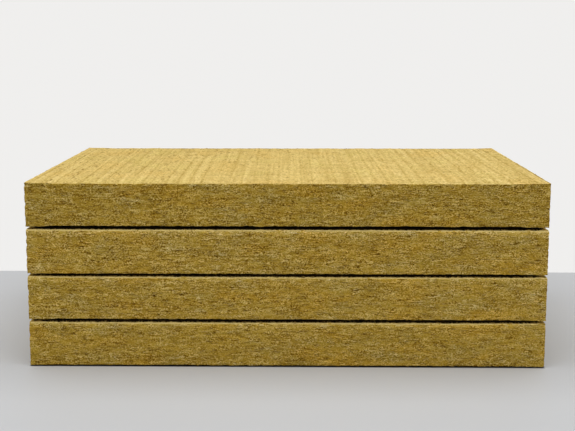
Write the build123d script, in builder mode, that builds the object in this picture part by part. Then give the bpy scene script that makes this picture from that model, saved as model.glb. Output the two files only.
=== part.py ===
# A stack of stone-wool insulation slabs, lying flat, one on another.
#
# Each slab is one cured mat of fibre. Its two faces were pressed between the oven's belts, and its four
# sides were sawn. A face is flat over its middle, the field, and falls away in a shallow round along the
# rim, where packing has pressed the wool down. So the slabs bear on their fields, and all round the
# stack a narrow open joint shows between the sawn sides.
#
# Frame: X runs along the long sides, Y runs from the front to the back, Z is up.
# The origin is at the middle of the footprint, on the surface that the stack lies on.

import os

from build123d import *

# Driving dimensions, in millimetres
slab_count = 4
slab_length = 1000.0  # along X
slab_width = 600.0  # along Y
slab_thickness = 91.0  # along Z, between the fields of the two faces

rim_drop = 4.1  # how far a face falls from its field to the sawn side
rim_width = 65.0  # the breadth of the band over which it falls
arris_radius = 2.2  # the round where a face meets a sawn side
corner_radius = 3.0  # the round of the upright corners
cut_overrun = 10.0  # how far an intersecting section runs past the slab


def slab_section(span):
    """The outline of a slab cut straight across, span from side to side, centred on its middle."""
    side = span / 2
    field_end = side - rim_width
    field_height = slab_thickness / 2
    rim_height = field_height - rim_drop
    with BuildSketch() as section:
        with BuildLine():
            field = Line((-field_end, field_height), (field_end, field_height))
            TangentArc(field @ 1, (side, rim_height), tangent=field % 1)
            TangentArc(field @ 0, (-side, rim_height), tangent=-(field % 0))
            mirror(about=Plane.XZ)
            Line((side, -rim_height), (side, rim_height))
            Line((-side, -rim_height), (-side, rim_height))
        make_face()
        by_side = section.vertices().group_by(Axis.X)
        fillet(by_side[0] + by_side[-1], radius=arris_radius)
    return section.sketch


os.makedirs("parts", exist_ok=True)

for level in range(slab_count):
    middle = Vector(0, 0, (level + 1 / 2) * slab_thickness)
    with BuildPart() as slab:
        with BuildSketch(Plane.XZ.shift_origin(middle)):
            add(slab_section(slab_length))
        extrude(amount=slab_width / 2 + cut_overrun, both=True)

        with BuildSketch(Plane.YZ.shift_origin(middle)):
            add(slab_section(slab_width))
        extrude(amount=slab_length / 2 + cut_overrun, both=True, mode=Mode.INTERSECT)

        with BuildSketch(Plane.XY.offset(middle.Z)):
            RectangleRounded(slab_length, slab_width, corner_radius)
        extrude(amount=slab_thickness / 2 + cut_overrun, both=True, mode=Mode.INTERSECT)

    slab.part.label = f"slab_{level + 1}"
    export_step(slab.part, f"parts/{slab.part.label}.step")
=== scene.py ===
import math

import bpy
import numpy as np
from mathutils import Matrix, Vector


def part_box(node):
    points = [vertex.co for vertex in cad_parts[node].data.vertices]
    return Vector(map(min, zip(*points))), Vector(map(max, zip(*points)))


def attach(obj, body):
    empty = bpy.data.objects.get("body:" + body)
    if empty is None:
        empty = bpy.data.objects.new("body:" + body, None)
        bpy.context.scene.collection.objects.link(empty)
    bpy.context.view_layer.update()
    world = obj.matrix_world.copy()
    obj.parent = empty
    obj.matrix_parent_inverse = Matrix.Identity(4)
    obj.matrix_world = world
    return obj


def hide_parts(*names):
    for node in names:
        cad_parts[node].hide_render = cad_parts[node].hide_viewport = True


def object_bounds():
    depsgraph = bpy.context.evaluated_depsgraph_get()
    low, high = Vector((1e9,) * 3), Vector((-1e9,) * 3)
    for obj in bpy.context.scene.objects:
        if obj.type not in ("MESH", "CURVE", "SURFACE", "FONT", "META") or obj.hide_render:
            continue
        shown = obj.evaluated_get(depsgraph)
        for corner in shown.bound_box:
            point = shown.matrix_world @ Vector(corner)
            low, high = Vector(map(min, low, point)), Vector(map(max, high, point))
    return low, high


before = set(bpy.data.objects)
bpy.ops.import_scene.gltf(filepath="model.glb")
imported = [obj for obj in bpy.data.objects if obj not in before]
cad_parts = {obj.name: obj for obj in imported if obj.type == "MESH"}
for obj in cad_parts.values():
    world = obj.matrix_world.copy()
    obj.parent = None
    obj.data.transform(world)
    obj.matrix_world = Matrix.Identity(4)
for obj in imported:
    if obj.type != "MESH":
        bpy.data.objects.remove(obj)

# A stack of four stone-wool slabs. Sizes are in metres, x runs along the long sides and y to the back.
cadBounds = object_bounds()
slabNodes = sorted(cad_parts)
tiny = 1e-5  # what lies closer than this lies at the same place
print("frame loaded:", ", ".join(slabNodes))


# Short ways of writing nodes, for materials and for Geometry Nodes alike

def plug(tree, socket, value):
    if isinstance(value, bpy.types.NodeSocket):
        tree.links.new(value, socket)
    else:
        socket.default_value = value


def addNode(tree, kind, inputs=None, **settings):
    node = tree.nodes.new(kind)
    for name, value in settings.items():
        setattr(node, name, value)
    for name, value in (inputs or {}).items():
        plug(tree, node.inputs[name], value)
    return node


def maths(tree, operation, *values, clamp=False):
    node = addNode(tree, "ShaderNodeMath", operation=operation, use_clamp=clamp)
    for socket, value in zip(node.inputs, values):
        plug(tree, socket, value)
    return node.outputs["Value"]


def vectorMaths(tree, operation, *values):
    node = addNode(tree, "ShaderNodeVectorMath", operation=operation)
    for socket, value in zip(node.inputs, values):
        plug(tree, socket, value)
    return node.outputs["Vector"]


def scaleVector(tree, vector, factor):
    inputs = {"Vector": vector, "Scale": factor}
    return addNode(tree, "ShaderNodeVectorMath", inputs, operation="SCALE").outputs["Vector"]


def parts(tree, vector):
    return addNode(tree, "ShaderNodeSeparateXYZ", {"Vector": vector}).outputs


def spread(tree, value, low, high, toLow=0.0, toHigh=1.0, ease="SMOOTHSTEP"):
    ends = {"Value": value, "From Min": low, "From Max": high, "To Min": toLow, "To Max": toHigh}
    return addNode(tree, "ShaderNodeMapRange", ends, interpolation_type=ease).outputs["Result"]


def noise(tree, place, lump, detail=2.0, roughness=0.5, output="Fac"):
    # lump is the size of the noise's lumps along x, y and z
    scaled = vectorMaths(tree, "DIVIDE", place, lump)
    inputs = {"Vector": scaled, "Scale": 1.0, "Detail": detail, "Roughness": roughness}
    return addNode(tree, "ShaderNodeTexNoise", inputs).outputs[output]


noiseRange = (0.3, 0.7)  # nearly all of a noise lies between these
noisePeaks = (0.60, 0.74)  # from here to there, only its peaks are left
smoothDetail = 1.0  # for a noise that isn't broken up finely


def stretch(tree, lumps, low, high):
    # a noise, drawn out so that it runs from low to high
    return spread(tree, lumps, *noiseRange, low, high, "LINEAR")


def mix(tree, share, first, second):
    node = addNode(tree, "ShaderNodeMix", data_type="FLOAT")
    for index, value in ((0, share), (2, first), (3, second)):
        plug(tree, node.inputs[index], value)
    return node.outputs[0]


def mixColour(tree, mode, share, first, second):
    node = addNode(tree, "ShaderNodeMix", data_type="RGBA", blend_type=mode)
    for index, value in ((0, share), (6, first), (7, second)):
        plug(tree, node.inputs[index], value)
    return node.outputs[2]


def ramp(tree, value, *colours):
    # the colours stand at even steps from 0 to 1
    node = addNode(tree, "ShaderNodeValToRGB", {"Fac": value})
    elements = node.color_ramp.elements
    while len(elements) < len(colours):
        elements.new(0.5)
    for step, (element, colour) in enumerate(zip(elements, colours)):
        element.position = step / (len(colours) - 1)
        element.color = (*colour, 1.0)
    return node.outputs["Color"]


# Materials

def warp(tree, place, lump, reach):
    # the place, pushed about by as much as the reach
    push = noise(tree, place, lump, output="Color")
    push = vectorMaths(tree, "SUBTRACT", push, (0.5, 0.5, 0.5))
    return vectorMaths(tree, "ADD", place, scaleVector(tree, push, reach))


fibreLook = {
    "bendLump": (0.040, 0.040, 0.040),  # how often the strands swing up and down
    "curlLump": (0.015, 0.015, 0.007),  # the size of the curls in the fine grain
    "patchLump": (0.018, 0.018, 0.009),  # the wool is torn more in some places than in others
    "grainDetail": 1.0,
    "strandDetail": 1.0,
    "streakDetail": 2.0,
    "markRoughness": 0.6,
    "elsewhere": (3.1, 1.7, 2.3),  # so that the flecks and pits lie apart from the strands
    "fleckFrom": 0.60,  # only the palest strands show as flecks
    "fleckTo": 0.74,
    "pitFrom": 0.40,  # only the deepest gaps show as pits
    "pitTo": 0.26,
}


def fibreGroup():
    # strands pressed into layers, with crumbs of binder and short pale ends between them
    group = bpy.data.node_groups.new("woolFibre", "ShaderNodeTree")
    group.interface.new_socket("Place", in_out="INPUT", socket_type="NodeSocketVector")
    for name in ("Swing", "Curl", "Unevenness", "Strength"):
        group.interface.new_socket(name, in_out="INPUT", socket_type="NodeSocketFloat")
    for marks in ("Grain", "Strand", "Streak"):
        group.interface.new_socket(marks + " Size", in_out="INPUT", socket_type="NodeSocketVector")
        group.interface.new_socket(marks + " Gain", in_out="INPUT", socket_type="NodeSocketFloat")
    for name in ("Tone", "Flecks", "Pits"):
        group.interface.new_socket(name, in_out="OUTPUT", socket_type="NodeSocketFloat")
    given = addNode(group, "NodeGroupInput").outputs
    place = given["Place"]
    swung = warp(group, place, fibreLook["bendLump"], given["Swing"])
    curled = warp(group, swung, fibreLook["curlLump"], given["Curl"])
    tone = 0.0
    for marks, at in (("Grain", curled), ("Strand", swung), ("Streak", swung)):
        detail = fibreLook[marks.lower() + "Detail"]
        swell = noise(group, at, given[marks + " Size"], detail, fibreLook["markRoughness"])
        swell = maths(group, "SUBTRACT", swell, 0.5)
        tone = maths(group, "MULTIPLY_ADD", swell, given[marks + " Gain"], tone)
    torn = stretch(group, noise(group, place, fibreLook["patchLump"], smoothDetail), -1.0, 1.0)
    torn = maths(group, "MULTIPLY_ADD", torn, given["Unevenness"], 1.0)
    torn = maths(group, "MULTIPLY", torn, given["Strength"])
    tone = maths(group, "MULTIPLY_ADD", tone, torn, 0.5)
    aside = vectorMaths(group, "ADD", swung, fibreLook["elsewhere"])
    loose = noise(group, aside, given["Strand Size"], smoothDetail)
    flecks = spread(group, loose, fibreLook["fleckFrom"], fibreLook["fleckTo"])
    pits = spread(group, loose, fibreLook["pitFrom"], fibreLook["pitTo"])
    addNode(group, "NodeGroupOutput", {"Tone": tone, "Flecks": flecks, "Pits": pits})
    return group


def readMark(tree, name):
    # a value that the slab's mesh holds at each of its points
    return addNode(tree, "ShaderNodeAttribute", attribute_name=name).outputs["Fac"]


def placeFibre(tree, place, look):
    node = addNode(tree, "ShaderNodeGroup", node_tree=woolFibre)
    plug(tree, node.inputs["Place"], place)
    for name in ("Swing", "Curl", "Unevenness"):
        plug(tree, node.inputs[name], look[name.lower()])
    plug(tree, node.inputs["Strength"], readMark(tree, "torn"))
    for marks in ("Grain", "Strand", "Streak"):
        plug(tree, node.inputs[marks + " Size"], look[marks.lower() + "Size"])
        plug(tree, node.inputs[marks + " Gain"], look[marks.lower() + "Gain"])
    return node.outputs


def newMaterial(name):
    material = bpy.data.materials.new(name)
    material.use_nodes = True
    tree = material.node_tree
    return material, tree, tree.nodes["Principled BSDF"]


# painted shade in the joints: the wool between the slabs is darkened where the slab above keeps the
# light out
paintedJointShade = {
    "tint": (0.10, 0.085, 0.075),  # painted shade: the tint of the wool deep in a joint, where the slab above shades it
    "from": 0.002,  # how deep in a joint the wool begins to be darker with painted shade
    "to": 0.008,
    "rag": 0.014,  # how much sooner that is for dark wool, and later for pale
    "cornerLight": 0.75,  # how much later it is at the corners, which are open to two sides
    "cornerAlong": 0.035,  # how far the corners reach along the long sides
    "cornerBack": 0.070,  # and along the short ones
}


def finishWool(tree, shader, colour, tone, look):
    # the pale lip: paler wool and also a painted highlight on the lit arris
    lip = maths(tree, "MULTIPLY", readMark(tree, "lip"), look["lipShare"])
    colour = mixColour(tree, look["lipMode"], lip, colour, (*look["lip"], 1.0))
    colour = mixColour(tree, "MULTIPLY", readMark(tree, "batch"), colour, (*look["paler"], 1.0))
    # painted shade deep in a joint, starting sooner on dark wool and later on pale
    depth = readMark(tree, "jointDepth")
    inside = spread(tree, depth, 0.0, paintedJointShade["from"], 0.0, paintedJointShade["rag"])
    ragged = maths(tree, "MULTIPLY_ADD", maths(tree, "SUBTRACT", 0.5, tone), inside, depth)
    shade = spread(tree, ragged, paintedJointShade["from"], paintedJointShade["to"])
    colour = mixColour(tree, "MULTIPLY", shade, colour, (*paintedJointShade["tint"], 1.0))
    plug(tree, shader.inputs["Base Color"], colour)
    shader.inputs["Roughness"].default_value = look["roughness"]
    shader.inputs["Specular IOR Level"].default_value = look["specular"]
    inputs = {"Height": tone, "Strength": look["bump"], "Distance": look["bumpDepth"]}
    plug(tree, shader.inputs["Normal"], addNode(tree, "ShaderNodeBump", inputs).outputs["Normal"])


sawnLook = {
    "grainSize": (0.0030, 0.0030, 0.0016),
    "grainGain": 1.36,
    "strandSize": (0.0170, 0.0170, 0.0019),
    "strandGain": 0.57,
    "streakSize": (0.0360, 0.0360, 0.0050),
    "streakGain": 0.34,
    "swing": 0.009,
    "curl": 0.005,
    "unevenness": 0.55,
    # the sawn wool's tones, darker and more saturated than the pressed face's: partly its own colour,
    # partly painted shade of the pits among its torn fibres
    "deep": (0.072, 0.026, 0.0005),
    "dark": (0.226, 0.111, 0.0016),
    "middle": (0.537, 0.336, 0.032),
    "pale": (0.825, 0.606, 0.176),
    "glint": (0.900, 0.680, 0.240),
    "lip": (1.450, 1.540, 2.300),  # tint of the paler wool of the pressed face drawn over the arris, and painted highlight on the lit arris
    "lipMode": "MULTIPLY",
    "lipShare": 0.55,
    "paler": (1.055, 1.070, 1.180),  # tint of the slabs that came out paler
    "fleck": (0.900, 0.630, 0.190),
    "fleckShare": 0.12,
    # painted shade in the gaps between strands
    "pit": (0.110, 0.045, 0.001),
    "pitShare": 0.60,
    "hollowFrom": 0.45,  # painted shade: the relief's deepest hollows are as dark as the pits
    "hollowTo": 1.0,
    "hollowShare": 0.6,
    "patchFrom": 0.46,  # from here to there in the noise, a patch takes its tint
    "patchTo": 0.68,
    "patchStep": (1.3, 0.0, 2.1),  # so that each tint has its own patches
    "ochre": (1.060, 0.965, 0.660),  # tint where the binder cured redder
    "ochreShare": 0.65,
    "ochreLump": (0.110, 0.110, 0.036),
    "ash": (0.935, 1.030, 1.480),  # tint where the wool holds little binder
    "ashShare": 0.55,
    "ashLump": (0.062, 0.062, 0.026),
    "dim": (0.860, 0.850, 0.830),  # tint of the broad darker patches
    "dimShare": 0.60,
    "dimLump": (0.080, 0.080, 0.028),
    "roughness": 0.92,
    "specular": 0.15,
    "bump": 0.35,
    "bumpDepth": 0.0012,
}


def sawnMaterial():
    material, tree, shader = newMaterial("sawnWool")
    place = addNode(tree, "ShaderNodeTexCoord").outputs["Object"]
    fibre = placeFibre(tree, place, sawnLook)
    tones = [sawnLook[name] for name in ("deep", "dark", "middle", "pale", "glint")]
    colour = ramp(tree, fibre["Tone"], *tones)
    for number, name in enumerate(("ochre", "ash", "dim")):
        aside = vectorMaths(tree, "ADD", place, tuple(number * step for step in sawnLook["patchStep"]))
        patches = noise(tree, aside, sawnLook[name + "Lump"])
        ends = (sawnLook["patchFrom"], sawnLook["patchTo"], 0.0, sawnLook[name + "Share"])
        share = spread(tree, patches, *ends)
        colour = mixColour(tree, "MULTIPLY", share, colour, (*sawnLook[name], 1.0))
    flecks = maths(tree, "MULTIPLY", fibre["Flecks"], sawnLook["fleckShare"])
    colour = mixColour(tree, "MIX", flecks, colour, (*sawnLook["fleck"], 1.0))
    # painted shade in the pits between strands and in the relief's hollows
    ends = (sawnLook["hollowFrom"], sawnLook["hollowTo"], 0.0, sawnLook["hollowShare"])
    deep = spread(tree, readMark(tree, "hollow"), *ends)
    pits = maths(tree, "MAXIMUM", maths(tree, "MULTIPLY", fibre["Pits"], sawnLook["pitShare"]), deep)
    colour = mixColour(tree, "MIX", pits, colour, (*sawnLook["pit"], 1.0))
    finishWool(tree, shader, colour, fibre["Tone"], sawnLook)
    return material


beltRib = {  # the ribs of the belt, pressed in as thin darker lines
    "spacing": 0.0235,
    "halfWidth": 0.0050,
    "depth": 0.0005,
    "skew": 0.016,  # how far the belt ran off the straight, as a share of the way back
    "wander": 0.030,  # how far a rib may lie from its even place
    "wanderLump": (0.070, 2.000, 2.000),
}


def onBelt(tree, place):
    # the place as it lay on the belt
    askew = maths(tree, "MULTIPLY", parts(tree, place)["Y"], beltRib["skew"])
    askew = addNode(tree, "ShaderNodeCombineXYZ", {"X": askew}).outputs["Vector"]
    return vectorMaths(tree, "ADD", place, askew)


def ribMarks(tree, place):
    # 1 along the middle of each rib, 0 between the ribs
    wander = maths(tree, "SUBTRACT", noise(tree, place, beltRib["wanderLump"]), 0.5)
    wandered = maths(tree, "MULTIPLY_ADD", wander, beltRib["wander"], parts(tree, place)["X"])
    fromRib = maths(tree, "PINGPONG", wandered, beltRib["spacing"] / 2)
    return spread(tree, fromRib, 0.0, beltRib["halfWidth"], 1.0, 0.0)


beltLook = {
    "grainSize": (0.0036, 0.0050, 0.0036),
    "grainGain": 1.3,
    "strandSize": (0.0046, 0.0120, 0.0060),  # dashes along the belt's lines
    "strandGain": (0.45, 0.62, 1.35),  # at the left end of a slab, in its middle and at its right end
    "streakSize": (0.0048, 0.6000, 0.0300),  # the lines themselves
    "streakGain": (0.95, 0.52, 0.90),
    "swing": 0.003,
    "curl": 0.005,
    "unevenness": 0.0,
    "ribGain": (-0.20, -0.13, -0.22),
    "rowLump": (0.4000, 0.0170, 0.0300),
    "rowGain": 0.36,
    "dark": (0.400, 0.260, 0.046),
    "middle": (0.746, 0.548, 0.178),
    "pale": (0.900, 0.706, 0.306),
    "grooveShade": (0.500, 0.340, 0.080),
    "grooveFrom": 0.40,  # painted shade: from here to there in the relief's depth, the hollows take this darker colour
    "grooveTo": 0.90,
    "grooveShare": 0.4,
    "dot": (0.420, 0.280, 0.070),
    "dotShare": 0.50,
    "warm": (1.000, 0.960, 0.880),
    "green": (0.975, 1.000, 0.930),
    "hueLump": (0.090, 0.120, 0.090),
    "hueMiddle": 0.50,  # here in the noise the wool is neither warm nor green
    "hueReach": 0.20,
    "lip": (0.900, 0.708, 0.262),  # paler wool drawn thin over the arris, and painted highlight on the lit arris
    "lipMode": "MIX",
    "lipShare": 0.70,
    "paler": (1.0, 1.0, 1.0),
    "roughness": 0.90,
    "specular": 0.18,
    "bump": 0.30,
    "bumpDepth": 0.0010,
}


def alongSlab(tree, across, left, middle, right):
    # a value that changes evenly from the left end to the middle, and on to the right end
    end = cadBounds[1][0]
    toMiddle = spread(tree, across, -end, 0.0, left, middle, "LINEAR")
    return maths(tree, "ADD", toMiddle, spread(tree, across, 0.0, end, 0.0, right - middle, "LINEAR"))


def beltMaterial():
    material, tree, shader = newMaterial("beltPressedWool")
    place = onBelt(tree, addNode(tree, "ShaderNodeTexCoord").outputs["Object"])
    across = parts(tree, place)["X"]
    # the gains change along the slab as painted shade: the belt's lines and ribs are drawn stronger
    # towards the ends, and the dashes towards the right end, where the grooves seen slantwise show more
    # shade
    gains = {}
    for name in ("strandGain", "streakGain", "ribGain"):
        gains[name] = alongSlab(tree, across, *beltLook[name])
    fibre = placeFibre(tree, place, {**beltLook, **gains})
    rows = maths(tree, "SUBTRACT", noise(tree, place, beltLook["rowLump"]), 0.5)
    tone = maths(tree, "MULTIPLY_ADD", rows, beltLook["rowGain"], fibre["Tone"])
    tone = maths(tree, "MULTIPLY_ADD", ribMarks(tree, place), gains["ribGain"], tone)
    colour = ramp(tree, tone, beltLook["dark"], beltLook["middle"], beltLook["pale"])
    hue = noise(tree, place, beltLook["hueLump"])
    for name, reach in (("warm", beltLook["hueReach"]), ("green", -beltLook["hueReach"])):
        share = spread(tree, hue, beltLook["hueMiddle"], beltLook["hueMiddle"] + reach)
        colour = mixColour(tree, "MULTIPLY", share, colour, (*beltLook[name], 1.0))
    # painted shade in the hollows of the belt's relief
    ends = (beltLook["grooveFrom"], beltLook["grooveTo"], 0.0, beltLook["grooveShare"])
    grooveShade = spread(tree, readMark(tree, "hollow"), *ends)
    colour = mixColour(tree, "MIX", grooveShade, colour, (*beltLook["grooveShade"], 1.0))
    dots = maths(tree, "MULTIPLY", fibre["Pits"], beltLook["dotShare"])
    colour = mixColour(tree, "MIX", dots, colour, (*beltLook["dot"], 1.0))
    finishWool(tree, shader, colour, fibre["Tone"], beltLook)
    return material


woolFibre = fibreGroup()
sawnWool = sawnMaterial()
beltWool = beltMaterial()
print("materials ready")


# Slabs

slabShape = {
    "cells": ((10, 36), (10, 8), (3, 10)),  # cuts along x, y and z, in two goes each
    "arris": 0.0008,  # the round where a face meets a sawn side
    "arrisSegments": 2,
    "rimDrop": 0.0041,  # how far a face falls towards the sides
    "rimWidth": 0.065,
    "rimWaver": 0.16,  # by what share the fall varies along the sides
    "waverLump": (0.030, 0.030, 0.030),
    "endShare": 0.50,  # the short sides fall by less
    "cornerShare": 0.55,  # and so do the ends of the long sides
    "cornerReach": 0.070,
    "ragDepth": 0.0012,  # how far the arrises are torn up and down
    "ragLump": (0.0055, 0.0055, 0.0055),
    "ragReach": 0.008,
    "lipHeight": 0.0070,  # the round of the upper arris of a covered slab
    "lipDepth": 0.0028,
    "lipReach": 0.014,  # how far in from the sides the lip's rounding is felt
    "lipFade": 0.016,  # how far down a sawn side the lip's paler wool and painted highlight reach
    "lipCalm": 0.25,  # by what share that wool is less torn
    "lipEven": 0.65,  # by what share its relief is shallower
    "sideTilt": 0.35,  # up to here, the upward part of a normal belongs to a sawn side
    "faceTilt": 0.85,  # and from here to a pressed face
    "flatTilt": 0.70,  # between the two, the materials meet
}

# how much of the rim's fall and of the pale lip each slab shows, whether it came out paler, and how far
# its sides are torn; the pale lip is paler wool and a painted highlight, painted stronger under the top
# slab against its shade
slabRows = {
    "slab_1": {"Upper Fall": 0.45, "Lower Fall": 0.43, "Lip Tone": 0.85, "Batch": 0.9, "Torn": 0.86},
    "slab_2": {"Upper Fall": 0.52, "Lower Fall": 0.76, "Lip Tone": 0.85, "Batch": 1.0, "Torn": 0.91},
    "slab_3": {"Upper Fall": 0.21, "Lower Fall": 0.56, "Lip Tone": 1.25, "Batch": 1.0, "Torn": 1.0},
    "slab_4": {"Upper Fall": 0.71, "Lower Fall": 1.09, "Lip Tone": 0.00, "Batch": 0.0, "Torn": 1.0},
}

sawnRelief = {
    "layerLump": (0.022, 0.022, 0.0060),
    "layerDepth": 0.0005,
    "crumbLump": (0.009, 0.009, 0.007),
    "crumbDepth": 0.0004,
    "pitLump": (0.026, 0.026, 0.010),
    "pitDepth": 0.0014,
    "swellLump": (0.160, 0.160, 0.080),
    "swellDepth": 0.0004,
}

beltRelief = {
    "lineLump": (0.011, 0.420, 0.050),  # the belt's lines run from front to back
    "lineDepth": 0.0005,
    "rowLump": (0.120, 0.030, 0.050),
    "rowDepth": 0.0002,
    "dimpleLump": (0.016, 0.022, 0.030),
    "dimpleDepth": 0.0007,
    "crumbLump": (0.010, 0.012, 0.010),
    "crumbDepth": 0.0002,
}


def deselectAll():
    if bpy.context.object and bpy.context.object.mode == "EDIT":
        bpy.ops.object.mode_set(mode="OBJECT")
    bpy.ops.object.select_all(action="DESELECT")


def takeAlone(piece):
    deselectAll()
    piece.select_set(True)
    bpy.context.view_layer.objects.active = piece


def takeEdges(piece, wanted):
    # leaves edit mode on, with only the wanted edges selected
    bpy.ops.object.mode_set(mode="EDIT")
    bpy.ops.mesh.select_mode(type="EDGE")
    bpy.ops.mesh.select_all(action="DESELECT")
    bpy.ops.object.mode_set(mode="OBJECT")
    vertices = piece.data.vertices
    for edge in piece.data.edges:
        start, end = (vertices[index].co for index in edge.vertices)
        edge.select = wanted(start, end)
    bpy.ops.object.mode_set(mode="EDIT")


def slabBlank():
    # a plain block with rounded arrises, cut into small cells, about the origin
    low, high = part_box(slabNodes[0])
    size = high - low
    deselectAll()
    bpy.ops.mesh.primitive_cube_add(size=1.0)
    blank = bpy.context.object
    bpy.ops.transform.resize(value=size)
    bpy.ops.object.transform_apply(location=True, rotation=True, scale=True)
    for axis, goes in enumerate(slabShape["cells"]):
        for cells in goes:
            takeEdges(blank, lambda start, end: abs(start[axis] - end[axis]) > tiny)
            bpy.ops.mesh.subdivide(number_cuts=cells - 1)
            bpy.ops.object.mode_set(mode="OBJECT")

    half = size / 2

    def onArris(start, end):
        shared = 0
        for axis in range(3):
            atSide = half[axis] - abs(start[axis]) < tiny
            shared += atSide and abs(start[axis] - end[axis]) < tiny
        return shared == 2

    takeEdges(blank, onArris)
    bpy.ops.mesh.bevel(offset=slabShape["arris"], segments=slabShape["arrisSegments"], affect="EDGES")
    bpy.ops.object.mode_set(mode="OBJECT")
    bpy.ops.object.shade_smooth()
    return blank


def rolling(tree, place, relief, names):
    # the sum of several noises, each going in and out by as much as the relief says
    total = 0.0
    for name in names:
        lumps = noise(tree, place, relief[name + "Lump"])
        depth = relief[name + "Depth"]
        total = maths(tree, "ADD", total, stretch(tree, lumps, -depth, depth))
    return total


def sparse(tree, place, relief, name):
    # hollows that only the peaks of a noise make
    lumps = noise(tree, place, relief[name + "Lump"], smoothDetail)
    return spread(tree, lumps, *noisePeaks, 0.0, relief[name + "Depth"])


def tilted(tree, upward):
    # 0 on the sawn sides, 1 where the upward part of the normal is that of a pressed face
    return spread(tree, upward, slabShape["sideTilt"], slabShape["faceTilt"])


def facing(tree):
    # the normal, its upward part, and 1 on the two pressed faces, 0 on the sawn sides
    normal = addNode(tree, "GeometryNodeInputNormal").outputs["Normal"]
    upward = parts(tree, normal)["Z"]
    return normal, upward, tilted(tree, maths(tree, "ABSOLUTE", upward))


def rimFall(tree, place, inset):
    # how far a face falls, as a share of the drop: steepest at the side, and most on the long sides
    onRim = {}
    for axis in ("X", "Y"):
        share = spread(tree, inset[axis], 0.0, slabShape["rimWidth"], 1.0, 0.0, "LINEAR")
        onRim[axis] = maths(tree, "MULTIPLY", share, share)
    atEnd = (0.0, slabShape["cornerReach"], slabShape["cornerShare"], 1.0)
    onSide = maths(tree, "MULTIPLY", onRim["Y"], spread(tree, inset["X"], *atEnd))
    onEnd = maths(tree, "MULTIPLY", onRim["X"], slabShape["endShare"])
    waver = slabShape["rimWaver"]
    waver = stretch(tree, noise(tree, place, slabShape["waverLump"]), 1 - waver, 1 + waver)
    return maths(tree, "MULTIPLY", maths(tree, "MAXIMUM", onSide, onEnd), waver)


def rimRag(tree, place, nearest):
    # how far an arris is torn up or down
    rag = stretch(tree, noise(tree, place, slabShape["ragLump"]), 0.0, slabShape["ragDepth"])
    return maths(tree, "MULTIPLY", rag, spread(tree, nearest, 0.0, slabShape["ragReach"], 1.0, 0.0))


def woolDepth(tree, place, onFace, nearLip):
    # the relief, shallower near the lip, and how far it has gone in as a share of its deepest
    sawn = maths(tree, "ADD", rolling(tree, place, sawnRelief, ("layer", "crumb", "swell")),
                 sparse(tree, place, sawnRelief, "pit"))
    belt = maths(tree, "ADD", rolling(tree, place, beltRelief, ("line", "row", "crumb")),
                 sparse(tree, place, beltRelief, "dimple"))
    even = maths(tree, "MULTIPLY_ADD", nearLip, -slabShape["lipEven"], 1.0)
    depth = maths(tree, "MULTIPLY", mix(tree, onFace, sawn, belt), even)
    pressedIn = sum(beltRelief[name + "Depth"] for name in ("line", "row", "crumb"))
    depth = maths(tree, "MULTIPLY_ADD", onFace, pressedIn, depth)  # the belt's marks only go in
    deepest = []
    for relief in (sawnRelief, beltRelief):
        deepest.append(sum(relief[name] for name in relief if name.endswith("Depth")))
    hollow = maths(tree, "DIVIDE", depth, mix(tree, onFace, *deepest), clamp=True)
    ribs = maths(tree, "MULTIPLY", ribMarks(tree, onBelt(tree, place)), onFace)
    return maths(tree, "MULTIPLY_ADD", ribs, beltRib["depth"], depth), hollow


def lipDrawnIn(tree, inset, fromMiddle, lipped):
    # the lip follows a quarter of an ellipse, and draws the outer cells of the face in with it
    above = spread(tree, parts(tree, inset)["Z"], 0.0, slabShape["lipHeight"], 1.0, 0.0, "LINEAR")
    level = maths(tree, "SQRT", maths(tree, "SUBTRACT", 1.0, maths(tree, "MULTIPLY", above, above)))
    inward = maths(tree, "MULTIPLY", maths(tree, "SUBTRACT", 1.0, level), slabShape["lipDepth"])
    reach = vectorMaths(tree, "DIVIDE", inset, (slabShape["lipReach"],) * 3)
    felt = vectorMaths(tree, "SUBTRACT", (1.0, 1.0, 0.0), reach)
    felt = vectorMaths(tree, "MAXIMUM", felt, (0.0, 0.0, 0.0))
    felt = vectorMaths(tree, "MULTIPLY", felt, (slabShape["endShare"], 1.0, 0.0))
    outward = vectorMaths(tree, "MULTIPLY", vectorMaths(tree, "SIGN", fromMiddle), felt)
    return scaleVector(tree, outward, maths(tree, "MULTIPLY", inward, lipped))


def depthInJoint(tree, inset, nearest, onJoint):
    # how deep a place lies in a joint, for the painted shade, counted as less near the corners
    depth = maths(tree, "MULTIPLY", nearest, onJoint)
    fromEnd = (0.0, paintedJointShade["cornerAlong"], paintedJointShade["cornerLight"], 0.0)
    inCorner = maths(tree, "MULTIPLY", spread(tree, inset["X"], *fromEnd),
                     spread(tree, inset["Y"], 0.0, paintedJointShade["cornerBack"], 1.0, 0.0))
    return maths(tree, "MULTIPLY", depth, maths(tree, "SUBTRACT", 1.0, inCorner))


def storeMark(tree, geometry, name, value, domain):
    # a value that each point or fibre keeps under a name
    inputs = {"Geometry": geometry, "Name": name, "Value": value}
    settings = {"data_type": "FLOAT", "domain": domain}
    return addNode(tree, "GeometryNodeStoreNamedAttribute", inputs, **settings).outputs["Geometry"]


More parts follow.
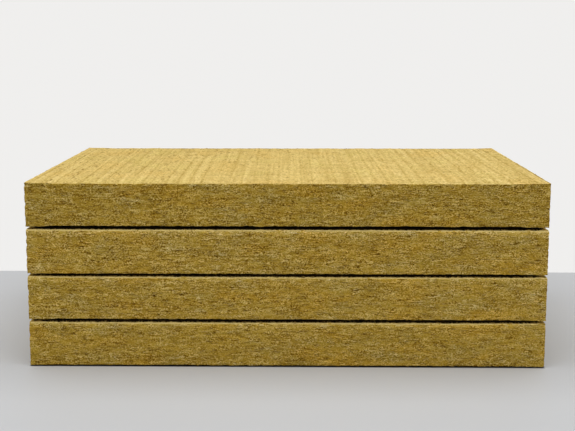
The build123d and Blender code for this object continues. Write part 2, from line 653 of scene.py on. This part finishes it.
def reliefTree():
    # the rim's fall, the lip, the belt marks on the two faces and the torn wool on the sawn sides
    tree = bpy.data.node_groups.new("woolRelief", "GeometryNodeTree")
    tree.interface.new_socket("Geometry", in_out="INPUT", socket_type="NodeSocketGeometry")
    for name in ("Covered", "Upper Fall", "Lower Fall", "Lip Tone", "Batch", "Torn"):
        tree.interface.new_socket(name, in_out="INPUT", socket_type="NodeSocketFloat")
    tree.interface.new_socket("Geometry", in_out="OUTPUT", socket_type="NodeSocketGeometry")
    given = addNode(tree, "NodeGroupInput").outputs
    slab = given["Geometry"]
    place = addNode(tree, "GeometryNodeInputPosition").outputs["Position"]
    normal, upward, onFace = facing(tree)

    # where a place lies in the slab, and how far in from its sides
    box = addNode(tree, "GeometryNodeBoundBox", {"Geometry": slab}).outputs
    middle = scaleVector(tree, vectorMaths(tree, "ADD", box["Min"], box["Max"]), 0.5)
    fromMiddle = vectorMaths(tree, "SUBTRACT", place, middle)
    toSide = vectorMaths(tree, "SUBTRACT", box["Max"], middle)
    insetVector = vectorMaths(tree, "SUBTRACT", toSide, vectorMaths(tree, "ABSOLUTE", fromMiddle))
    inset = parts(tree, insetVector)
    nearest = maths(tree, "MINIMUM", inset["X"], inset["Y"])
    heightShare = maths(tree, "DIVIDE", parts(tree, fromMiddle)["Z"], parts(tree, toSide)["Z"])
    upperHalf = maths(tree, "GREATER_THAN", heightShare, 0.0)

    # the bare top keeps a clean arris, and only the covered slabs have a lip
    shown = mix(tree, upperHalf, given["Lower Fall"], given["Upper Fall"])
    fall = maths(tree, "MULTIPLY", rimFall(tree, place, inset), shown)
    fall = maths(tree, "MULTIPLY", fall, slabShape["rimDrop"])
    ragged = mix(tree, upperHalf, 1.0, given["Covered"])
    fall = maths(tree, "MULTIPLY_ADD", rimRag(tree, place, nearest), ragged, fall)
    drop = addNode(tree, "ShaderNodeCombineXYZ", {"Z": maths(tree, "MULTIPLY", heightShare, fall)})
    lipped = maths(tree, "MULTIPLY", given["Covered"], upperHalf)
    nearLip = spread(tree, inset["Z"], 0.0, slabShape["lipFade"], 1.0, 0.0)
    nearLip = maths(tree, "MULTIPLY", nearLip, lipped)
    depth, hollow = woolDepth(tree, place, onFace, nearLip)
    drawnIn = lipDrawnIn(tree, insetVector, fromMiddle, lipped)

    # what the materials read
    covered = mix(tree, maths(tree, "GREATER_THAN", upward, 0.0), 1.0, given["Covered"])
    onJoint = maths(tree, "MULTIPLY", onFace, covered)
    calm = maths(tree, "MULTIPLY_ADD", nearLip, -slabShape["lipCalm"], 1.0)
    marked = {
        "hollow": hollow,
        "lip": maths(tree, "MULTIPLY", nearLip, given["Lip Tone"]),
        "jointDepth": depthInJoint(tree, inset, nearest, onJoint),
        "batch": given["Batch"],
        "torn": mix(tree, onFace, maths(tree, "MULTIPLY", given["Torn"], calm), 1.0),
    }
    for name, value in marked.items():
        slab = storeMark(tree, slab, name, value, "POINT")
    sunk = vectorMaths(tree, "ADD", drop.outputs["Vector"], scaleVector(tree, normal, depth))
    moved = scaleVector(tree, vectorMaths(tree, "ADD", sunk, drawnIn), -1.0)
    shaped = addNode(tree, "GeometryNodeSetPosition", {"Geometry": slab, "Offset": moved})
    addNode(tree, "NodeGroupOutput", {"Geometry": shaped.outputs["Geometry"]})
    return tree


def applyNodes(piece, tree, inputs):
    takeAlone(piece)
    modifier = piece.modifiers.new(tree.name, "NODES")
    modifier.node_group = tree
    for name, value in inputs.items():
        modifier[tree.interface.items_tree[name].identifier] = value
    bpy.ops.object.modifier_apply(modifier=modifier.name)


def paintFaces(slab, top):
    # slot 0 on the two pressed faces and over the lip, slot 1 on the sawn sides
    slab.data.materials.append(beltWool)
    slab.data.materials.append(sawnWool)
    lipFoot = top - slabShape["rimDrop"] - slabShape["lipHeight"]
    for face in slab.data.polygons:
        onLip = face.normal.z > slabShape["sideTilt"] and face.center.z > lipFoot
        face.material_index = 0 if onLip or abs(face.normal.z) > slabShape["flatTilt"] else 1


atlas = {"margin": 0.008, "sideHeight": 0.085, "underHeight": 0.200}  # shares of a square picture


def readMesh(items, name, width=1, kind=np.float32):
    values = np.empty(len(items) * width, dtype=kind)
    items.foreach_get(name, values)
    return values.reshape(-1, width) if width > 1 else values


def unwrap(slab):
    # the four sides, the underside and the top, one panel above another
    mesh = slab.data
    corners = readMesh(mesh.loops, "vertex_index", kind=np.int32)
    places = readMesh(mesh.vertices, "co", 3)
    turns = readMesh(mesh.polygons, "loop_total", kind=np.int32)
    x, y, z = ((places - places.min(axis=0)) / np.ptp(places, axis=0))[corners].T
    across, back, up = np.repeat(readMesh(mesh.polygons, "normal", 3), turns, axis=0).T
    flat = np.abs(up) > slabShape["flatTilt"]
    long = ~flat & (np.abs(back) >= np.abs(across))
    short = ~flat & ~long
    margin = atlas["margin"]
    topHeight = 1 - 4 * atlas["sideHeight"] - atlas["underHeight"] - 7 * margin  # what the others leave
    spots = np.zeros((len(corners), 2), dtype=np.float32)
    foot = margin
    for onPanel, along, upPanel, height in ((long & (back < 0), x, z, atlas["sideHeight"]),
                                            (short & (across > 0), y, z, atlas["sideHeight"]),
                                            (long & (back > 0), 1 - x, z, atlas["sideHeight"]),
                                            (short & (across < 0), 1 - y, z, atlas["sideHeight"]),
                                            (flat & (up < 0), x, 1 - y, atlas["underHeight"]),
                                            (flat & (up > 0), x, y, topHeight)):
        spots[onPanel, 0] = margin + (1 - 2 * margin) * along[onPanel]
        spots[onPanel, 1] = foot + height * upPanel[onPanel]
        foot += height + margin
    mesh.uv_layers.new(name="OFBake").data.foreach_set("uv", spots.ravel())


def makeSlabs():
    blank = slabBlank()
    relief = reliefTree()
    slabs = []
    for node in slabNodes:
        low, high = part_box(node)
        slab = blank.copy()
        slab.data = blank.data.copy()
        slab.name = node.replace("slab", "wool_slab")
        bpy.context.scene.collection.objects.link(slab)
        slab.location = (low + high) / 2
        takeAlone(slab)
        bpy.ops.object.transform_apply(location=True, rotation=True, scale=True)
        covered = 0.0 if node == slabNodes[-1] else 1.0
        applyNodes(slab, relief, {"Covered": covered, **slabRows[node]})
        paintFaces(slab, high.z)
        unwrap(slab)
        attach(slab, "root")
        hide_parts(node)
        slabs.append(slab)
        print(slab.name, "has", len(slab.data.polygons), "faces")
    bpy.data.objects.remove(blank)
    return slabs


slabs = makeSlabs()


# Loose fibres on the sawn sides and the bare top

looseFibre = {
    "length": 0.0080,
    "thickness": 0.0006,
    "bow": 0.0006,
    "sideDensity": 17000.0,  # fibres on a square metre
    "topDensity": 5000.0,
    "tilt": 5.0,  # how far an end may stand out, in degrees
    "turn": 26.0,  # how far a fibre may lie off the grain on a side
    "topTurn": 80.0,  # and on the top, off the belt's lines
    "topGrain": (0.0, 0.01, 0.0),  # the way of those lines, too weak to turn the fibres on a side
    "shortest": 0.45,  # as shares of the length and the thickness above
    "longest": 1.50,
    "thinnest": 0.7,
    "thickest": 1.5,
    "turnSeed": 11,
    "lengthSeed": 23,
    "thicknessSeed": 37,
    "toneSeed": 41,
    "darkest": 0.02,  # where the tones begin and end, from dark to pale
    "palest": 0.98,
    "columnWidth": 0.01,  # of a fibre's own strip of the picture
    "dark": (0.340, 0.200, 0.022),
    "pale": (0.840, 0.650, 0.230),
    "endTone": (0.700, 0.640, 0.520),
    "endFrom": 0.2,  # how far from its middle a fibre begins to darken, as a share of its length
    "roughness": 0.85,
    "specular": 0.20,
}


def fibreMaterial():
    # each fibre has its own column of the picture, so one tone along it, darker only at its ends
    material, tree, shader = newMaterial("looseFibre")
    spot = parts(tree, addNode(tree, "ShaderNodeUVMap", uv_map="OFBake").outputs["UV"])
    colour = ramp(tree, spot["X"], looseFibre["dark"], looseFibre["pale"])
    fromMiddle = maths(tree, "ABSOLUTE", maths(tree, "SUBTRACT", spot["Y"], 0.5))
    toEnd = spread(tree, fromMiddle, looseFibre["endFrom"], 0.5)
    colour = mixColour(tree, "MULTIPLY", toEnd, colour, (*looseFibre["endTone"], 1.0))
    plug(tree, shader.inputs["Base Color"], colour)
    shader.inputs["Roughness"].default_value = looseFibre["roughness"]
    shader.inputs["Specular IOR Level"].default_value = looseFibre["specular"]
    return material


def fibreBlank():
    # a three-sided rod along x, drawn to a point at both ends and bowed a little
    deselectAll()
    bpy.ops.mesh.primitive_cylinder_add(vertices=3, radius=looseFibre["thickness"] / 2,
                                        depth=looseFibre["length"], rotation=(0.0, math.pi / 2, 0.0))
    rod = bpy.context.object
    bpy.ops.object.transform_apply(location=True, rotation=True, scale=True)
    takeEdges(rod, lambda start, stop: abs(start.x - stop.x) > tiny)
    bpy.ops.mesh.subdivide(number_cuts=2)
    end = looseFibre["length"] / 2
    for side in (-1, 1):
        takeEdges(rod, lambda start, stop: min(start.x * side, stop.x * side) > end - tiny)
        bpy.ops.mesh.merge(type="CENTER")
    takeEdges(rod, lambda start, stop: max(abs(start.x), abs(stop.x)) < end / 2)
    bpy.ops.transform.translate(value=(0.0, 0.0, looseFibre["bow"]))
    bpy.ops.object.mode_set(mode="OBJECT")
    bpy.ops.object.shade_smooth()
    return rod


def insideBounds(tree, place):
    # how far in from the sides of the stack a place lies
    return parts(tree, vectorMaths(tree, "SUBTRACT", cadBounds[1], vectorMaths(tree, "ABSOLUTE", place)))


def randomBetween(tree, low, high, seed):
    kind, first, output = ("FLOAT", 2, 1) if isinstance(low, float) else ("FLOAT_VECTOR", 0, 0)
    node = addNode(tree, "FunctionNodeRandomValue", {"Seed": seed}, data_type=kind)
    plug(tree, node.inputs[first], low)
    plug(tree, node.inputs[first + 1], high)
    return node.outputs[output]


def scatterTree(rod, material):
    tree = bpy.data.node_groups.new("looseFibres", "GeometryNodeTree")
    tree.interface.new_socket("Geometry", in_out="INPUT", socket_type="NodeSocketGeometry")
    tree.interface.new_socket("Top Density", in_out="INPUT", socket_type="NodeSocketFloat")
    tree.interface.new_socket("Seed", in_out="INPUT", socket_type="NodeSocketInt")
    tree.interface.new_socket("Geometry", in_out="OUTPUT", socket_type="NodeSocketGeometry")
    given = addNode(tree, "NodeGroupInput").outputs
    normal, upward, onFace = facing(tree)
    place = addNode(tree, "GeometryNodeInputPosition").outputs["Position"]
    inset = insideBounds(tree, place)
    reach = looseFibre["length"] * looseFibre["longest"] / 2

    # no fibre starts where its end would stand out past an edge
    fromEdge = maths(tree, "MULTIPLY", maths(tree, "MINIMUM", inset["X"], inset["Y"]), upward)
    onTop = maths(tree, "MULTIPLY", onFace, maths(tree, "GREATER_THAN", fromEdge, reach))
    fromCorner = maths(tree, "MAXIMUM", inset["X"], inset["Y"])
    onSide = maths(tree, "MULTIPLY", maths(tree, "SUBTRACT", 1.0, onFace),
                   maths(tree, "GREATER_THAN", fromCorner, reach))
    density = maths(tree, "MULTIPLY", onTop, given["Top Density"])
    density = maths(tree, "MULTIPLY_ADD", onSide, looseFibre["sideDensity"], density)
    points = addNode(tree, "GeometryNodeDistributePointsOnFaces",
                     {"Mesh": given["Geometry"], "Density": density, "Seed": given["Seed"]}).outputs

    # along the layers on a side, along the belt's lines on the top
    along = vectorMaths(tree, "CROSS_PRODUCT", points["Normal"], (0.0, 0.0, 1.0))
    along = vectorMaths(tree, "ADD", along, looseFibre["topGrain"])
    stood = addNode(tree, "FunctionNodeAlignRotationToVector", {"Vector": points["Normal"]}, axis="Z")
    laid = addNode(tree, "FunctionNodeAlignRotationToVector",
                   {"Rotation": stood.outputs["Rotation"], "Vector": along}, axis="X", pivot_axis="Z")
    most = (math.pi, math.radians(looseFibre["tilt"]), 1.0)
    least = tuple(-angle for angle in most)
    chance = parts(tree, randomBetween(tree, least, most, looseFibre["turnSeed"]))
    lying = tilted(tree, parts(tree, points["Normal"])["Z"])
    turn = mix(tree, lying, math.radians(looseFibre["turn"]), math.radians(looseFibre["topTurn"]))
    angles = {"X": chance["X"], "Y": chance["Y"], "Z": maths(tree, "MULTIPLY", chance["Z"], turn)}
    angles = addNode(tree, "ShaderNodeCombineXYZ", angles).outputs["Vector"]
    swing = addNode(tree, "FunctionNodeEulerToRotation", {"Euler": angles})
    turned = addNode(tree, "FunctionNodeRotateRotation",
                     {"Rotation": laid.outputs["Rotation"], "Rotate By": swing.outputs["Rotation"]},
                     rotation_space="LOCAL")
    longer = randomBetween(tree, looseFibre["shortest"], looseFibre["longest"], looseFibre["lengthSeed"])
    thicker = randomBetween(tree, looseFibre["thinnest"], looseFibre["thickest"],
                            looseFibre["thicknessSeed"])
    scale = addNode(tree, "ShaderNodeCombineXYZ", {"X": longer, "Y": thicker, "Z": thicker})
    shape = addNode(tree, "GeometryNodeObjectInfo", {"Object": rod}).outputs["Geometry"]
    strewn = addNode(tree, "GeometryNodeInstanceOnPoints",
                     {"Points": points["Points"], "Instance": shape,
                      "Rotation": turned.outputs["Rotation"], "Scale": scale.outputs["Vector"]})
    tone = randomBetween(tree, looseFibre["darkest"], looseFibre["palest"], looseFibre["toneSeed"])
    toned = storeMark(tree, strewn.outputs["Instances"], "tone", tone, "INSTANCE")
    real = addNode(tree, "GeometryNodeRealizeInstances", {"Geometry": toned})
    made = addNode(tree, "GeometryNodeSetMaterial",
                   {"Geometry": real.outputs["Geometry"], "Material": material})
    addNode(tree, "NodeGroupOutput", {"Geometry": made.outputs["Geometry"]})
    return tree


def layInPicture(fibres, rod):
    # u is the fibre's tone, v runs along it
    rodPlaces = readMesh(rod.data.vertices, "co", 3)
    mesh = fibres.data
    count = len(mesh.vertices) // len(rodPlaces)
    tone = readMesh(mesh.attributes["tone"].data, "value")
    u = tone + np.tile(rodPlaces[:, 1] / looseFibre["thickness"] * looseFibre["columnWidth"], count)
    v = np.tile(rodPlaces[:, 0] / looseFibre["length"] + 0.5, count)
    corners = readMesh(mesh.loops, "vertex_index", kind=np.int32)
    spots = np.stack((u, v), axis=1)[corners].astype(np.float32)
    mesh.uv_layers.new(name="OFBake").data.foreach_set("uv", spots.ravel())
    return count


def makeFibres():
    rod = fibreBlank()
    strew = scatterTree(rod, fibreMaterial())
    for number, slab in enumerate(slabs, 1):
        fibres = bpy.data.objects.new(f"wool_fibres_{number}", slab.data.copy())
        bpy.context.scene.collection.objects.link(fibres)
        topDensity = looseFibre["topDensity"] if number == len(slabs) else 0.0
        applyNodes(fibres, strew, {"Top Density": topDensity, "Seed": number})
        count = layInPicture(fibres, rod)
        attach(fibres, "root")
        print(fibres.name, "has", count, "fibres")
    bpy.data.objects.remove(rod)


makeFibres()


# Stage

stage = {
    "floorSize": 40.0,
    "floor": (0.616, 0.626, 0.642),
    "floorRoughness": 0.6,
    "floorSpecular": 0.3,
    "paintedShadow": (0.060, 0.056, 0.050),  # painted contact shadow on the floor right under the stack
    "underFrom": -0.003,  # from here to there, in from the sides of the stack, the painted shadow darkens the floor
    "underTo": 0.001,
    "background": (0.870, 0.862, 0.850),
    "fadeFrom": 1.1,  # from here to there, out from the stack, the floor goes over into the background
    "fadeTo": 3.5,
    "backdropPlace": 0.494,  # how far behind the middle of the stack the backdrop stands
    "backdropSize": (16.0, 6.0),
    "fill": 0.163,  # the light of the room all round
}


def paleRays(tree):
    # 1 for what the camera sees, straight or in a gloss or through glass
    rays = addNode(tree, "ShaderNodeLightPath").outputs
    seen = maths(tree, "MAXIMUM", rays["Is Camera Ray"], rays["Is Glossy Ray"])
    return maths(tree, "MAXIMUM", seen, rays["Is Transmission Ray"])


def showBackground(tree, otherwise, share):
    # the plain background colour over another shader, where the camera looks
    colour = (*stage["background"], 1.0)
    bright = addNode(tree, "ShaderNodeEmission", {"Color": colour, "Strength": 1.0})
    seen = maths(tree, "MULTIPLY", share, paleRays(tree))
    mixed = addNode(tree, "ShaderNodeMixShader", {"Fac": seen})
    tree.links.new(otherwise, mixed.inputs[1])
    tree.links.new(bright.outputs["Emission"], mixed.inputs[2])
    tree.links.new(mixed.outputs["Shader"], tree.nodes["Material Output"].inputs["Surface"])


def floorMaterial():
    material, tree, shader = newMaterial("paleFloor")
    shader.inputs["Roughness"].default_value = stage["floorRoughness"]
    shader.inputs["Specular IOR Level"].default_value = stage["floorSpecular"]
    place = addNode(tree, "ShaderNodeTexCoord").outputs["Object"]
    inset = insideBounds(tree, place)
    nearest = maths(tree, "MINIMUM", inset["X"], inset["Y"])
    # the painted contact shadow under the stack
    under = spread(tree, nearest, stage["underFrom"], stage["underTo"])
    colour = mixColour(tree, "MIX", under, (*stage["floor"], 1.0), (*stage["paintedShadow"], 1.0))
    plug(tree, shader.inputs["Base Color"], colour)
    away = addNode(tree, "ShaderNodeVectorMath", {"Vector": place}, operation="LENGTH").outputs["Value"]
    showBackground(tree, shader.outputs["BSDF"], spread(tree, away, stage["fadeFrom"], stage["fadeTo"]))
    return material


def backdropMaterial():
    # seen only from the front, and by the camera alone
    material, tree, shader = newMaterial("paleBackdrop")
    tree.nodes.remove(shader)
    clear = addNode(tree, "ShaderNodeBsdfTransparent").outputs["BSDF"]
    behind = addNode(tree, "ShaderNodeNewGeometry").outputs["Backfacing"]
    showBackground(tree, clear, maths(tree, "SUBTRACT", 1.0, behind))
    return material


def makeStage():
    deselectAll()
    bpy.ops.mesh.primitive_plane_add(size=stage["floorSize"])
    floor = bpy.context.object
    floor.name = "floor"
    floor.data.materials.append(floorMaterial())

    deselectAll()
    bpy.ops.mesh.primitive_plane_add(location=(0.0, stage["backdropPlace"], 0.0),
                                     rotation=(math.pi / 2, 0.0, 0.0))
    backdrop = bpy.context.object
    backdrop.name = "backdrop"
    width, height = stage["backdropSize"]
    bpy.ops.transform.resize(value=(width / 2, 1.0, height))
    bpy.ops.object.transform_apply(location=True, rotation=True, scale=True)
    backdrop.data.materials.append(backdropMaterial())

    world = bpy.data.worlds.new("softRoom")
    bpy.context.scene.world = world
    world.use_nodes = True
    tree = world.node_tree
    fill = (stage["fill"],) * 3
    shown = mixColour(tree, "MIX", paleRays(tree), (*fill, 1.0), (*stage["background"], 1.0))
    plug(tree, tree.nodes["Background"].inputs["Color"], shown)


lights = {
    "above": {"place": (0.0, -0.2, 3.6), "aim": (0.0, 0.0, 0.2), "size": (5.4, 3.4), "power": 125.5},
    "front": {"place": (0.0, -2.2, 3.2), "aim": (0.0, -0.3, 0.15), "size": (3.4, 1.2), "power": 23.5},
}


def makeLights():
    for name, light in lights.items():
        deselectAll()
        bpy.ops.object.light_add(type="AREA", location=light["place"])
        lamp = bpy.context.object
        lamp.name = name + "Light"
        lamp.data.shape = "RECTANGLE"
        lamp.data.size, lamp.data.size_y = light["size"]
        lamp.data.energy = light["power"]
        towards = Vector(light["aim"]) - Vector(light["place"])
        lamp.rotation_euler = towards.to_track_quat("-Z", "Y").to_euler()


camera = {
    "lens": 62.74,
    "place": (0.0275, -2.1787, 0.6398),
    "downward": 8.362,  # degrees below level
    "leftward": 0.782,  # degrees from straight ahead
    "shiftY": -0.0578,
    "sensorWidth": 36.0,
    "clipEnd": 100.0,
}


def makeCamera():
    turn = (math.radians(90 - camera["downward"]), 0.0, math.radians(camera["leftward"]))
    deselectAll()
    bpy.ops.object.camera_add(location=camera["place"], rotation=turn)
    eye = bpy.context.object
    eye.data.lens = camera["lens"]
    eye.data.sensor_width = camera["sensorWidth"]
    eye.data.shift_y = camera["shiftY"]
    eye.data.clip_end = camera["clipEnd"]
    bpy.context.scene.camera = eye


makeStage()
makeLights()
makeCamera()
bpy.context.scene.view_settings.view_transform = "Standard"
print("stage, lights and camera ready")
